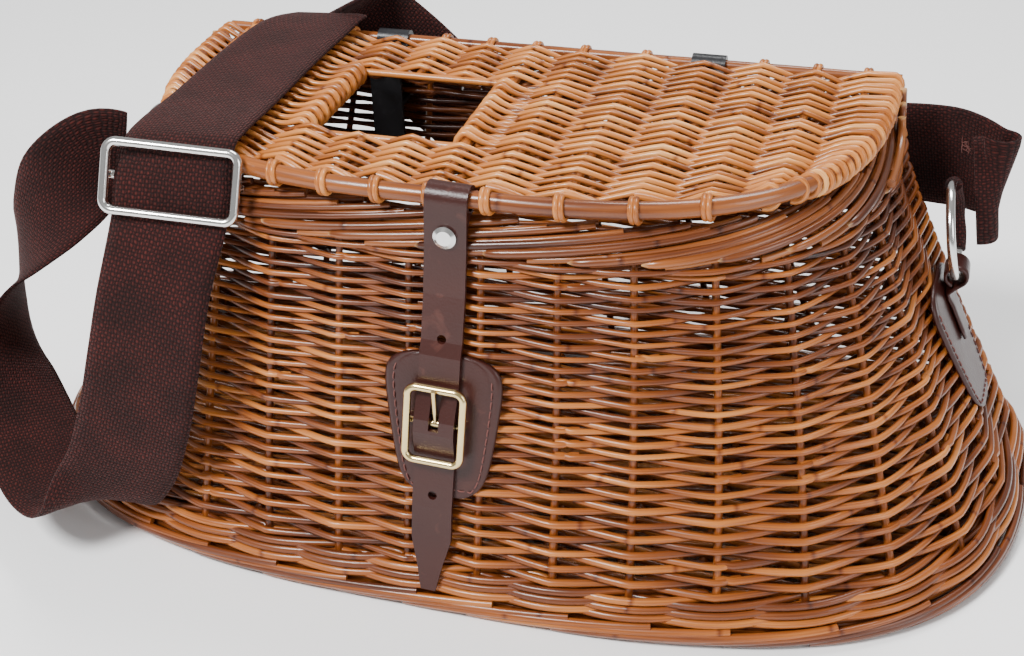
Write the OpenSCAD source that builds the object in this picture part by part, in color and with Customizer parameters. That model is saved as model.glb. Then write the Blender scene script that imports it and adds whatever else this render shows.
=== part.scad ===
// Willow creel-shaped basket with a flat woven lid, a leather closure and a webbing shoulder strap.
// Millimetres. +Z is up, +Y is the flat back, +X is to the right.
// The origin is the centre of the underside that the basket rests on.

/* [Body] */
// Half of the body's length at the rim
rim_half = 169; // [150:1:180]
// Half of the body's length at the foot
foot_half = 247; // [225:1:255]
// Depth of the foot, front to back
foot_depth = 221; // [205:1:235]
// Height of the top of the border
border_top = 183.5; // [170:0.5:195]
// Thickness of the woven wall
wall_thick = 7; // [5:0.5:8]
// Number of upright side stakes
stake_count = 26; // [20:2:30]

/* [Lid] */
// Half of the lid's length
lid_half = 168; // [155:1:170]
// Depth of the lid from its hinge line to its front edge
lid_depth = 165; // [155:1:170]
// Diameter of the rod along the lid's back
lid_rod_d = 5.5; // [4.5:0.5:6]
// Diameter of the bent rod round the lid's ends and front
front_rod_d = 7.6; // [6:0.2:8]
// Length of the hatch in the lid
hatch_len = 70; // [60:1:80]
// Depth of the hatch in the lid
hatch_depth = 67; // [60:1:75]

/* [Leather] */
// Width of the closure strap
strap_w = 18; // [15:0.5:20]
// Thickness of the leather
leather_t = 2; // [1.5:0.1:2.2]
// Width of the stitched leather patches
patch_w = 54; // [46:1:58]
// Height of the stitched leather patches
patch_h = 66; // [60:1:70]

/* [Metal] */
// Outer width of the buckle
buckle_w = 28; // [26:0.5:30]
// Outer height of the buckle
buckle_h = 37; // [35:0.5:40]
// Outer diameter of the strap rings
ring_d = 46; // [42:1:50]
// Outer width of the strap slider
slider_w = 61; // [59:0.5:64]
// Outer height of the strap slider
slider_h = 33; // [31:0.5:36]

/* [Webbing] */
// Width of the shoulder webbing
web_w = 50; // [46:1:52]
// Thickness of the shoulder webbing
web_t = 2.4; // [2:0.1:2.8]

/* [Hidden] */

willow = "#a8602c";
willow_dark = "#8a4a20";
leather = "#3d1d18";
black_leather = "#1d1c1e";
webbing = "#3a1714";
brass = "#c9a24a";
nickel = "#c4c4c6";
thread = "#55281c";

// Body outline at a height: [half length, back, front, squareness, back corner radius]
flare_bottom = 6;
flare_top = 178;
foot_back = foot_depth / 2 - 2;
rim_back = 80;
rim_front = -81;
foot_front = rim_front - 31.5;
function flare(z) = pow(max(0, (flare_top - z) / (flare_top - flare_bottom)), 1.15);
function outline_at(z) = [
    rim_half + (foot_half - rim_half) * flare(z),
    rim_back + (foot_back - rim_back) * flare(z),
    rim_front + (foot_front - rim_front) * flare(z),
    3.0,
    12 + 28 * flare(z)
];

// Points of a D-shaped outline, anticlockwise from the right-hand back corner.
// inset moves every side inward.
function super(v, n) = sign(v) * pow(abs(v), 2 / n);
function d_outline(o, inset, steps = 44) = let (
    a = o[0] - inset, back = o[1] - inset, front = o[2] + inset,
    n = o[3], r = max(2, o[4] - inset), yc = back - r
) concat(
    [for (i = [0:4]) [a - r + r * cos(i * 22.5), yc + r * sin(i * 22.5)]],
    [for (i = [4:8]) [-(a - r) + r * cos(i * 22.5), yc + r * sin(i * 22.5)]],
    [for (i = [1:steps - 1]) let (t = 180 + 180 * i / steps)
        [a * super(cos(t), n), yc - (yc - front) * super(abs(sin(t)), n)]]
);
function lift(points, z) = [for (p = points) [p[0], p[1], z]];

// Distance of the outer wall from the middle planes, used to lay leather on it
function wall_x(y, z) = let (o = outline_at(z), yc = o[1] - o[4], u = max(0, (yc - y) / (yc - o[2])))
    o[0] * pow(1 - pow(u, o[3]), 1 / o[3]);
function wall_y(x, z) = let (o = outline_at(z), yc = o[1] - o[4])
    yc - (yc - o[2]) * pow(1 - pow(abs(x) / o[0], o[3]), 1 / o[3]);

// A solid ring through closed loops of equal length, the last joined to the first
module ring_solid(loops) {
    n = len(loops);
    m = len(loops[0]);
    polyhedron(
        points = [for (l = loops) for (p = l) p],
        faces = [for (i = [0:n - 1]) for (j = [0:m - 1]) let (i2 = (i + 1) % n, j2 = (j + 1) % m)
            each [[i * m + j, i2 * m + j, i2 * m + j2], [i * m + j, i2 * m + j2, i * m + j2]]]
    );
}

// A solid tube through loops of equal length, capped at both ends
module tube_solid(loops) {
    n = len(loops);
    m = len(loops[0]);
    last = (n - 1) * m;
    polyhedron(
        points = [for (l = loops) for (p = l) p],
        faces = concat(
            [for (i = [0:n - 2]) for (j = [0:m - 1]) let (j2 = (j + 1) % m)
                each [[i * m + j, (i + 1) * m + j, (i + 1) * m + j2],
                      [i * m + j, (i + 1) * m + j2, i * m + j2]]],
            [for (j = [0:m / 2 - 2]) each [
                [j, j + 1, m - 2 - j], [j, m - 2 - j, m - 1 - j],
                [last + j + 1, last + j, last + m - 2 - j],
                [last + m - 2 - j, last + j, last + m - 1 - j]]]
        )
    );
}

// Smooth curve through a list of points
function spline_point(p, i, t) = let (
    n = len(p), a = p[max(0, i - 1)], b = p[i], c = p[min(n - 1, i + 1)], d = p[min(n - 1, i + 2)]
) 0.5 * (2 * b + (c - a) * t + (2 * a - 5 * b + 4 * c - d) * t * t + (3 * b - a - 3 * c + d) * t * t * t);
function spline(p, per) = concat(
    [for (i = [0:len(p) - 2]) for (k = [0:per - 1]) spline_point(p, i, k / per)], [p[len(p) - 1]]);
function unit(v) = v / norm(v);

// A band of webbing along a route. Each route point is [centre, width direction].
module band(route, width, thick, per = 4) {
    c = spline([for (r = route) r[0]], per);
    w = spline([for (r = route) r[1]], per);
    n = len(c);
    tube_solid([for (i = [0:n - 1]) let (
        t = unit(c[min(n - 1, i + 1)] - c[max(0, i - 1)]),
        side = unit(w[i] - t * (w[i] * t)),
        up = cross(t, side),
        a = side * norm(w[i]) * width / 2, b = up * thick / 2
    ) [c[i] - a + b, c[i] + a + b, c[i] + a - b, c[i] - a - b]]);
}

// A round rod along a curve
module bent_rod(c, r, sides = 10) {
    n = len(c);
    tube_solid([for (i = [0:n - 1]) let (
        t = unit(c[min(n - 1, i + 1)] - c[max(0, i - 1)]),
        side = unit(cross(t, [0, 0, 1])), up = cross(side, t)
    ) [for (j = [0:sides - 1]) c[i] + r * (cos(-360 * j / sides) * side + sin(-360 * j / sides) * up)]]);
}

// A straight round rod between two points
module rod(p, q, r) {
    v = q - p;
    translate(p) rotate([0, acos(v[2] / norm(v)), atan2(v[1], v[0])])
        cylinder(h = norm(v), r = r, $fn = 24);
}

// Base

base_t = 6;
base_inset = 13;
module base_panel() {
    color(willow) linear_extrude(height = base_t)
        polygon(d_outline(outline_at(flare_bottom), base_inset));
}

module base_sticks() {
    color(willow_dark) for (i = [-2:2])
        translate([-190 + 8 * abs(i), i * 34, base_t + 2.3])
            rotate([0, 90, 0]) cylinder(h = 2 * (190 - 8 * abs(i)), r = 2.2, $fn = 24);
}

// A ring of wall between two heights, following the flare
module wall_ring(z0, z1, outset, thick, levels) {
    zs = [for (i = [0:levels]) z0 + (z1 - z0) * i / levels];
    ring_solid(concat(
        [for (z = zs) lift(d_outline(outline_at(z), -outset), z)],
        [for (i = [levels:-1:0]) lift(d_outline(outline_at(zs[i]), thick - outset), zs[i])]
    ));
}

foot_top = 11;
module foot_border() {
    o = outline_at(flare_bottom);
    color(willow_dark) ring_solid([
        lift(d_outline(o, 4), 0), lift(d_outline(o, 0.5), 3),
        lift(d_outline(o, 0), 7), lift(d_outline(o, 1), foot_top),
        lift(d_outline(o, base_inset - 1), foot_top), lift(d_outline(o, base_inset - 0.2), 0)
    ]);
}

wale_top = 24;
module lower_wale() {
    color(willow_dark) wall_ring(foot_top, wale_top, 0.6, 9, 1);
}

rim_wale_bottom = 158;
module wall_weave() {
    color(willow) difference() {
        wall_ring(wale_top, rim_wale_bottom, 0, wall_thick, 6);
        for (s = [-1, 1]) translate([s * hinge_x - hinge_slot / 2, 40, 149])
            cube([hinge_slot, 60, 20]);
    }
}

border_bottom = 168;
module rim_wale() {
    color(willow) difference() {
        wall_ring(rim_wale_bottom, border_bottom, 0.4, 8, 1);
        for (s = [-1, 1]) translate([s * hinge_x - hinge_slot / 2, 40, 149])
            cube([hinge_slot, 60, 20]);
    }
}

module top_border() {
    o = outline_at(flare_top);
    color(willow_dark) difference() {
        ring_solid([
            lift(d_outline(o, 0), border_bottom), lift(d_outline(o, -1.5), 172),
            lift(d_outline(o, -1.2), 179), lift(d_outline(o, 3), border_top),
            lift(d_outline(o, 9), border_top), lift(d_outline(o, 12), 179),
            lift(d_outline(o, 12), 172), lift(d_outline(o, 10), border_bottom)
        ]);
        corner_post_shapes(post_r + 0.1, 0.1);
    }
}

// Upright stakes just inside the weave
stake_r = 1.7;
module side_stakes() {
    low = outline_at(wale_top + 2);
    high = outline_at(border_bottom - 2);
    inset = wall_thick + 4.2;
    color(willow_dark) for (i = [0:stake_count - 1]) let (
        t = 180 * (i + 0.5) / stake_count + 180,
        yl = low[1] - low[4], yh = high[1] - high[4],
        a = [(low[0] - inset) * super(cos(t), low[3]),
             yl - (yl - low[2] - inset) * super(abs(sin(t)), low[3]), wale_top + 2],
        b = [(high[0] - inset) * super(cos(t), high[3]),
             yh - (yh - high[2] - inset) * super(abs(sin(t)), high[3]), border_bottom - 2.5]
    ) rod(a, b, stake_r);
}

// Stout uprights beside the lid's back corners, seated in the border
post_r = 2.4;
post_y = [64, 57];
post_h = [22, 17];
module corner_post_shapes(r, below) {
    for (s = [-1, 1]) for (k = [0, 1])
        translate([s * (rim_half + 1.9), post_y[k], border_bottom + 4 - below])
            cylinder(h = post_h[k], r = r, $fn = 24);
}
module corner_posts() { color(willow_dark) corner_post_shapes(post_r, 0); }

// Leather laid on the wall. place(u, v, off) gives a point on the wall.
function shield_half(v) = (patch_w / 2 - 9 * pow(1 - v, 1.6)) * pow(1 - pow(abs(2 * v - 1), 7), 0.4);
patch_bottom = 58;
tab_y = 37;
tab_bottom = 54;
function front_point(u, v, off) = let (x = 1 + u * shield_half(v), z = patch_bottom + patch_h * v)
    [x, wall_y(x, z) - off, z];
function side_point(s, u, v, off) = let (
    y = tab_y - s * u * 0.9 * shield_half(v), z = tab_bottom + patch_h * v * 0.94
) [s * (wall_x(y, z) + off), y, z];
v_steps = [0.01, 0.03, 0.08, 0.16, 0.3, 0.5, 0.7, 0.84, 0.92, 0.97, 0.99];
u_steps = [-1, -0.5, 0, 0.5, 1];

module front_patch() {
    color(leather) tube_solid([for (v = v_steps) concat(
        [for (u = u_steps) front_point(u, v, 0.6 + leather_t)],
        [for (i = [4:-1:0]) front_point(u_steps[i], v, 0.6)]
    )]);
}

module side_tab(s) {
    color(leather) tube_solid([for (v = v_steps) concat(
        [for (u = u_steps) side_point(s, -u, v, 0.6 + leather_t)],
        [for (i = [4:-1:0]) side_point(s, -u_steps[i], v, 0.6)]
    )]);
}
module tab_left() { mirror([1, 0, 0]) side_tab(1); }
module tab_right() { side_tab(1); }

// A raised line of thread round a patch, set in from its edge
stitch_v = [0.05, 0.12, 0.25, 0.4, 0.55, 0.7, 0.8];
module front_patch_stitching() {
    color(thread) for (s = [-1, 1])
        bent_rod([for (v = stitch_v) front_point(s * 0.86, v, 0.6 + leather_t + 0.45)], 0.4, 6);
}
module side_tab_stitching() {
    color(thread) for (s = [-1, 1])
        bent_rod([for (v = stitch_v) side_point(1, s * 0.86, v, 0.6 + leather_t + 0.45)], 0.4, 6);
}
module tab_left_stitching() { mirror([1, 0, 0]) side_tab_stitching(); }
module tab_right_stitching() { side_tab_stitching(); }

// Leather loop that holds a ring, folded from the top of its tab
ring_wire = 2;
ring_r = ring_d / 2 - ring_wire;
ring_foot = [203, 42, 117];
ring_lean = -10;
loop_len = 15;
loop_bore = 3.6;
module tab_loop() {
    color(leather) translate([ring_foot[0], ring_foot[1] - loop_len / 2, ring_foot[2]])
        rotate([-90, 0, 0]) difference() {
            cylinder(h = loop_len, r = loop_bore + leather_t, $fn = 48);
            translate([0, 0, -1]) cylinder(h = loop_len + 2, r = loop_bore, $fn = 48);
        }
}
module tab_left_loop() { mirror([1, 0, 0]) tab_loop(); }
module tab_right_loop() { tab_loop(); }

// Rings that join the webbing to the tabs
module strap_ring() {
    color(nickel) translate(ring_foot) rotate([0, ring_lean, 0]) translate([0, 0, ring_r])
        rotate([0, 90, 0]) rotate_extrude($fn = 96) translate([ring_r, 0])
            circle(r = ring_wire, $fn = 24);
}
module ring_left() { mirror([1, 0, 0]) strap_ring(); }
module ring_right() { strap_ring(); }

// Leather hinges: each is a band round the lid's back rod and the border
hinge_x = 79;
hinge_w = 16;
hinge_slot = 18;
hinge_y = 82;
hinge_z = 190.5;
hinge_gap = 0.08;
module hinge_band(x) {
    rr = lid_rod_d / 2 + hinge_gap;
    color(black_leather) translate([x - hinge_w / 2, 0, 0]) rotate([90, 0, 90])
        linear_extrude(height = hinge_w) difference() {
            union() {
                translate([hinge_y, hinge_z]) circle(r = rr + leather_t, $fn = 64);
                polygon([[64.6, 162], [86, 162], [hinge_y + rr + leather_t, hinge_z],
                         [hinge_y - rr - leather_t, hinge_z], [64.6, 184.6]]);
            }
            translate([hinge_y, hinge_z]) circle(r = rr, $fn = 64);
            polygon([[66.6, 164], [84.2, 164], [hinge_y + rr, hinge_z], [hinge_y - rr, hinge_z],
                     [66.6, 183.9]]);
        }
}
module hinge_left() { hinge_band(-hinge_x); }
module hinge_right() { hinge_band(hinge_x); }

module hinge_tail(x) {
    color(black_leather) translate([x - hinge_w / 2, 64.6, 128])
        cube([hinge_w, leather_t, 34]);
}
module hinge_tail_left() { hinge_tail(-hinge_x); }
module hinge_tail_right() { hinge_tail(hinge_x); }

// Lid

lid_o = [lid_half, hinge_y, hinge_y - lid_depth, 3.05, 3];
lid_low = 187.4;
lid_high = 194.2;
hatch_left = -79;
hatch_front = -31;
panel_inset = front_rod_d + 0.3;
function lid_panel() = [for (p = d_outline(lid_o, panel_inset)) [p[0], min(p[1], hinge_y - 3.2)]];
hatch_rod_d = 5.6;

module lid_weave() {
    color(willow) difference() {
        translate([0, 0, lid_low]) linear_extrude(height = lid_high - lid_low) polygon(lid_panel());
        translate([hatch_left - hatch_rod_d - 0.2, hatch_front - 4.2, lid_low - 1])
            cube([hatch_len + 2 * hatch_rod_d + 0.4, hatch_depth + 8.4, 10]);
        for (s = [-1, 1]) translate([s * hinge_x - hinge_slot / 2, 63, lid_low - 1])
            cube([hinge_slot, 30, 10]);
        // gap that the closure strap comes through
        translate([strap_top_x - strap_w / 2 - 1.5, hinge_y - lid_depth - 5, lid_low - 1])
            cube([strap_w + 3, strap_gap + 5, 10]);
    }
}

// Front-to-back sticks under the weave, clear of the hatch and the hinges
stick_x = [-150, -125, -45, -10, 22, 50, 97, 125, 150];
module lid_sticks() {
    color(willow_dark) for (x = stick_x) let (
        u = abs(x) / (lid_half - 6),
        front = 78 - (lid_depth - 8) * pow(1 - pow(u, 3.05), 1 / 3.05),
        in_hatch = x > hatch_left - 8 && x < hatch_left + hatch_len + 8
    ) {
        if (in_hatch) {
            rod([x, front + 4.4, lid_low - 1.6], [x, hatch_front - 7, lid_low - 1.6], 1.5);
            rod([x, hatch_front + hatch_depth + 7, lid_low - 1.6], [x, 76, lid_low - 1.6], 1.5);
        } else {
            rod([x, front + 4.4, lid_low - 1.6], [x, 76, lid_low - 1.6], 1.5);
        }
    }
}

// Bent rod round the ends and the front of the lid
module lid_frame_rod() {
    path = [for (p = d_outline(lid_o, front_rod_d / 2, 60)) if (p[1] < hinge_y - 8) p];
    color(willow_dark) bent_rod([for (p = path) [p[0], p[1], rod_z]], front_rod_d / 2);
}

module lid_back_rod() {
    color(willow_dark) translate([-lid_half, hinge_y, hinge_z]) rotate([0, 90, 0])
        cylinder(h = 2 * lid_half, d = lid_rod_d, $fn = 48);
}

// Short sticks that tie the bent rod to the back rod
module lid_end_sticks() {
    color(willow_dark) for (s = [-1, 1])
        rod([s * (lid_half - front_rod_d / 2), 74.3, rod_z], [s * (lid_half - front_rod_d / 2), 78.9, rod_z], 2.4);
}

module hatch_rod(x) {
    color(willow_dark) rod([x, hatch_front - 3.9, 190.9],
                           [x, hatch_front + hatch_depth + 3.9, 190.9], hatch_rod_d / 2);
}
module hatch_rod_left() { hatch_rod(hatch_left - hatch_rod_d / 2); }
module hatch_rod_right() { hatch_rod(hatch_left + hatch_len + hatch_rod_d / 2); }

module hatch_edge_rods() {
    color(willow) for (y = [hatch_front - 2, hatch_front + hatch_depth + 2])
        rod([hatch_left + 0.2, y, 190.9], [hatch_left + hatch_len - 0.2, y, 190.9], 1.9);
}

// Closure strap: a profile seen from the side, extruded across its width.
// It wraps the lid's front rod, runs down the wall and passes through the buckle.
closure_x = 0;
closure_lean = 2.6;
closure_pivot_z = 110;
rod_y = hinge_y - lid_depth + front_rod_d / 2;
rod_z = 191;
strap_clear = 0.6;
strap_top_x = closure_x + (rod_z - closure_pivot_z) * sin(closure_lean);
strap_gap = front_rod_d + strap_clear + leather_t + 0.5;
// Distance that the buckle stands off the wall, and the slope of the wall there
buckle_z = 94;
buckle_y = wall_y(0, buckle_z) - 0.6 - leather_t - 2.6;
wall_tilt = atan((wall_y(0, buckle_z + 15) - wall_y(0, buckle_z - 15)) / 30);
bar_r = 1.3;
bar_gap = 0.05;
frame_r = 1.7;

module closure_place() {
    translate([closure_x, 0, closure_pivot_z]) rotate([0, closure_lean, 0])
        translate([0, 0, -closure_pivot_z]) children();
}

// Middle line of the strap below the rod: [distance out from the wall's surface, height]
strap_line = [[3.4, 172], [2.2, 150], [2.6, 130], [4.2, 124], [4, 111], [8.3, 97],
              [8.3, 91], [4, 77], [4, 66], [3.8, 54], [2.3, 40], [2.2, 13]];
function strap_pt(p, off) = [wall_y(0, p[1]) - p[0] - off, p[1]];

module strap_side() {
    rr = front_rod_d / 2 + strap_clear;
    difference() {
        union() {
            translate([rod_y, rod_z]) circle(r = rr + leather_t, $fn = 64);
            polygon(concat(
                [[rod_y - 1, rod_z - rr - leather_t + 0.5], [rim_front - 2.4, 181]],
                [for (p = strap_line) strap_pt(p, -leather_t / 2)],
                [for (i = [len(strap_line) - 1:-1:0]) strap_pt(strap_line[i], leather_t / 2)],
                [[rod_y - rr - leather_t, rod_z]]
            ));
        }
        translate([rod_y, rod_z]) circle(r = rr, $fn = 64);
    }
}

// Outline of the strap from the front: straight sides and a narrow blunt tip
module strap_front() {
    w = strap_w / 2;
    polygon([[-w, 200], [-w, 38], [-w + 3.5, 24], [-3, 11], [3, 11], [w - 3.5, 24], [w, 38], [w, 200]]);
}

module closure_strap() {
    color(leather) closure_place() difference() {
        intersection() {
            translate([-strap_w / 2, 0, 0]) rotate([90, 0, 90])
                linear_extrude(height = strap_w) strap_side();
            translate([0, -60, 0]) rotate([90, 0, 0]) linear_extrude(height = 100) strap_front();
        }
        // slot that the prong passes through, and the spare holes
        translate([-2.2, -120, 92.5]) cube([4.4, 60, 15]);
        for (z = [131, 60]) translate([0, -60, z]) rotate([90, 0, 0])
            cylinder(h = 70, r = 2, $fn = 24);
        // seat of the rivet
        rivet_place() translate([0, 0, -8]) cylinder(h = 20, r = 1.5, $fn = 24);
    }
}

// Rivet through the strap's two layers, square to its outer face
rivet_z = 176.5;
module rivet_place() {
    low = strap_pt(strap_line[0], leather_t / 2);
    high = [rod_y - front_rod_d / 2 - strap_clear - leather_t, rod_z];
    share = (rivet_z - low[1]) / (high[1] - low[1]);
    face = low + (high - low) * share;
    translate([0, face[0], rivet_z]) rotate([90 - atan((high[0] - low[0]) / (high[1] - low[1])), 0, 0])
        children();
}
module closure_rivet() {
    color(nickel) closure_place() rivet_place() {
        translate([0, 0, 0.05]) cylinder(h = 1, r = 4.9, $fn = 48);
        translate([0, 0, 1.05]) cylinder(h = 0.9, r1 = 4.9, r2 = 3.2, $fn = 48);
        translate([0, 0, -3]) cylinder(h = 3.1, r = 1.4, $fn = 24);
    }
}

// Buckle: rectangular frame, fixed centre bar and a prong, lying along the wall
module buckle_place() {
    closure_place() translate([0, buckle_y, buckle_z]) rotate([-wall_tilt, 0, 0]) children();
}

module wire_frame(w, h, r, corner) {
    x = w / 2 - r;
    z = h / 2 - r;
    c = corner;
    for (s = [-1, 1]) {
        translate([-x + c, 0, s * z]) rotate([0, 90, 0]) cylinder(h = 2 * (x - c), r = r, $fn = 32);
        translate([s * x, 0, -z + c]) cylinder(h = 2 * (z - c), r = r, $fn = 32);
    }
    for (sx = [-1, 1]) for (sz = [-1, 1])
        translate([sx * (x - c), 0, sz * (z - c)])
            rotate([90, (sx > 0 ? (sz > 0 ? 0 : 90) : (sz > 0 ? -90 : 180)), 0])
                rotate_extrude(angle = 90, $fn = 48) translate([c, 0]) circle(r = r, $fn = 32);
}

frame_out = 3.2;
module buckle_frame() {
    color(brass) buckle_place() translate([0, -frame_out, 0])
        wire_frame(buckle_w, buckle_h, frame_r, 4);
}

// Centre bar under the strap, with a lug at each end that joins the frame's sides
module buckle_bar() {
    x = buckle_w / 2 - frame_r;
    color(brass) buckle_place() {
        rotate([0, 90, 0]) cylinder(h = 2 * x + 2, r = bar_r, center = true, $fn = 32);
        for (s = [-1, 1]) translate([s * x, 0, 0]) rotate([90, 0, 0])
            cylinder(h = frame_out, r = 1.2, $fn = 32);
    }
}

module buckle_prong() {
    color(brass) buckle_place() difference() {
        union() {
            rotate([0, 90, 0]) cylinder(h = 3.4, r = bar_r + 0.7, center = true, $fn = 32);
            rod([0, -1.2, 1.2], [0, -6.5, 17.5], 1);
        }
        rotate([0, 90, 0]) cylinder(h = 5, r = bar_r + bar_gap, center = true, $fn = 32);
    }
}

// Leather fold that holds the centre bar down on the patch
module buckle_chape() {
    color(leather) buckle_place() for (s = [-1, 1]) translate([s * 4.6, 0, 0]) difference() {
        translate([-2.4, -bar_r - 0.6, -2.8]) cube([4.8, bar_r + 3, 5.6]);
        rotate([0, 90, 0]) cylinder(h = 8, r = bar_r + bar_gap, center = true, $fn = 32);
    }
}

// Slider on the webbing, just over the lid's front left edge
slider_at = [-119, -81.8, 185.5];
slider_up = unit([0.6, 13, 29]);
web_side = [1, 0.15, -0.078];
slider_across = unit(web_side - slider_up * (web_side * slider_up));
module slider_place() {
    n = cross(slider_up, slider_across);
    multmatrix([
        [slider_across[0], n[0], slider_up[0], slider_at[0]],
        [slider_across[1], n[1], slider_up[1], slider_at[1]],
        [slider_across[2], n[2], slider_up[2], slider_at[2]],
        [0, 0, 0, 1]
    ]) children();
}
slider_r = 2;
slider_bar_r = 1.7;
slider_front = 3.9;
slider_behind = 3.2;
module slider_frame() {
    color(nickel) slider_place() translate([0, -slider_front, 0])
        wire_frame(slider_w, slider_h, slider_r, 4.5);
}
module slider_bar() {
    x = slider_w / 2 - slider_r;
    color(nickel) slider_place() translate([0, slider_behind, 0]) {
        rotate([0, 90, 0]) cylinder(h = 2 * x + 2, r = slider_bar_r, center = true, $fn = 32);
        for (s = [-1, 1]) translate([s * x, 0, 0]) rotate([90, 0, 0])
            cylinder(h = slider_front + slider_behind - slider_r, r = 1.6, $fn = 32);
    }
}

// Shoulder webbing. Each point is a centre and the direction of the width there.
web_lid_z = 198;
loop_route = [
    [[-206, 22, 140], [0.05, 0.25, 0.86]],
    [[-217, 14, 142], [0.02, 0.25, 0.95]],
    [[-228, 2, 133], [0, 0.4, 0.92]],
    [[-240, -12, 112], [-0.1, 0.65, 0.75]],
    [[-249, -28, 86], [-0.15, 0.9, 0.4]],
    [[-246, -50, 60], [-0.05, 0.98, 0.15]],
    [[-226, -74, 37], [0.4, 0.9, 0]],
    [[-199, -98.5, 26], [0.76, 0.56, 0]],
    [[-170, -113, 31], [0.92, 0.36, 0.1]],
    [[-150, -115.5, 52], [0.95, 0.28, 0.1]],
    [[-137, -116, 82], [0.97, 0.2, 0]],
    [[-129, -113, 112], [0.98, 0.15, 0]],
    [[-123.5, -105, 142], [0.99, 0.1, 0]],
    [[-119.8, -90, 168.5], [1, 0.12, -0.05]]
];
lid_route = [
    [[-119.3, -88.3, 171.2], [1, 0.15, -0.078]],
    [[-119, -81.8, 185.5], [1, 0.15, -0.078]],
    [[-118.8, -72.6, 198.4], [1, 0.06, 0]],
    [[-119.5, -58, 200.4], [1, 0, 0]],
    [[-122, -20, web_lid_z], [1, 0, 0]],
    [[-123, 30, web_lid_z], [1, 0, 0]],
    [[-121, 66, 198.6], [0.99, 0.1, 0.02]],
    [[-116, 86, 198.6], [0.94, 0.3, 0.12]]
];
back_route = [
    [[-115.2, 88, 198.2], [0.94, 0.3, 0.12]],
    [[-105, 101, 191], [0.8, 0.42, 0.4]],
    [[-88, 109, 174], [0.66, 0.42, 0.6]],
    [[-68, 118, 150], [0.6, 0.3, 0.72]],
    [[-40, 126, 122], [0.4, 0.1, 0.9]],
    [[5, 133, 104], [0.1, 0, 1]],
    [[60, 134, 104], [-0.12, 0, 1]],
    [[115, 131, 118], [-0.2, 0.02, 0.97]],
    [[160, 120, 136], [-0.2, 0.06, 0.98]],
    [[191, 104, 145], [-0.1, 0.1, 0.98]],
    [[207, 93, 147], [0.02, -0.05, 0.98]],
    [[218, 83, 146.5], [0.14, -0.24, 0.92]],
    [[217.5, 75, 146], [0.14, -0.05, 0.96]],
    [[212.5, 71, 145], [-0.06, 0.25, 0.97]],
    [[206.5, 69.8, 144.4], [-0.12, 0.46, 0.87]]
];

module strap_loop() { color(webbing) band(loop_route, web_w, web_t); }
module strap_over_lid() { color(webbing) band(lid_route, web_w, web_t); }
module strap_behind() { color(webbing) band(back_route, web_w, web_t); }

// Sewn fold of webbing gathered round one side of a ring
sleeve_arc = 104;
module strap_sleeve(turn) {
    color(webbing) translate(ring_foot) rotate([0, ring_lean, 0]) translate([0, 0, ring_r])
        rotate([0, 90, 0]) rotate([0, 0, turn - sleeve_arc / 2])
            rotate_extrude(angle = sleeve_arc, $fn = 96) translate([ring_r, 0]) difference() {
                circle(r = ring_wire + 0.05 + web_t * 0.7, $fn = 32);
                circle(r = ring_wire + 0.05, $fn = 32);
            }
}
module strap_end_left() { mirror([1, 0, 0]) strap_sleeve(-90); }
module strap_end_right() { strap_sleeve(90); }

base_panel();
base_sticks();
foot_border();
lower_wale();
wall_weave();
rim_wale();
top_border();
side_stakes();
corner_posts();
front_patch();
front_patch_stitching();
buckle_chape();
tab_left();
tab_right();
tab_left_loop();
tab_right_loop();
tab_left_stitching();
tab_right_stitching();
hinge_left();
hinge_right();
hinge_tail_left();
hinge_tail_right();
strap_behind();
strap_end_left();
strap_end_right();
lid_weave();
lid_sticks();
lid_frame_rod();
lid_back_rod();
lid_end_sticks();
hatch_rod_left();
hatch_rod_right();
hatch_edge_rods();
strap_over_lid();
closure_strap();
closure_rivet();
buckle_frame();
buckle_bar();
buckle_prong();
ring_left();
ring_right();
slider_frame();
slider_bar();
strap_loop();
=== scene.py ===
import bmesh, bpy, math
import numpy as np
from mathutils import Matrix, Vector


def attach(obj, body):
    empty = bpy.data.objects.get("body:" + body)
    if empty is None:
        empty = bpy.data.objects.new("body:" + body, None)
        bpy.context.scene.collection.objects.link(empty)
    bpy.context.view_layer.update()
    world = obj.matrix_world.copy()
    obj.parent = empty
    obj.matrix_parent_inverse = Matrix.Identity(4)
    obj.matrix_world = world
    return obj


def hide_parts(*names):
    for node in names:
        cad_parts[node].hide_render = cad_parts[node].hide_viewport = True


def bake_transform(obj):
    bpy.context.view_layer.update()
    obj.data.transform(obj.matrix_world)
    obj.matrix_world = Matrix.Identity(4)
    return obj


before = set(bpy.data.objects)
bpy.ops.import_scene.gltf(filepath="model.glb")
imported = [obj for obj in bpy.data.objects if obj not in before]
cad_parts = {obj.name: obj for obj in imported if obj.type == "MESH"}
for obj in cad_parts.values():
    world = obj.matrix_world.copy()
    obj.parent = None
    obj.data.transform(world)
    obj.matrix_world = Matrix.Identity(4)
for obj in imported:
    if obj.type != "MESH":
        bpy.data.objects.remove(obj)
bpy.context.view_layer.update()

MM = 0.001

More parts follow.
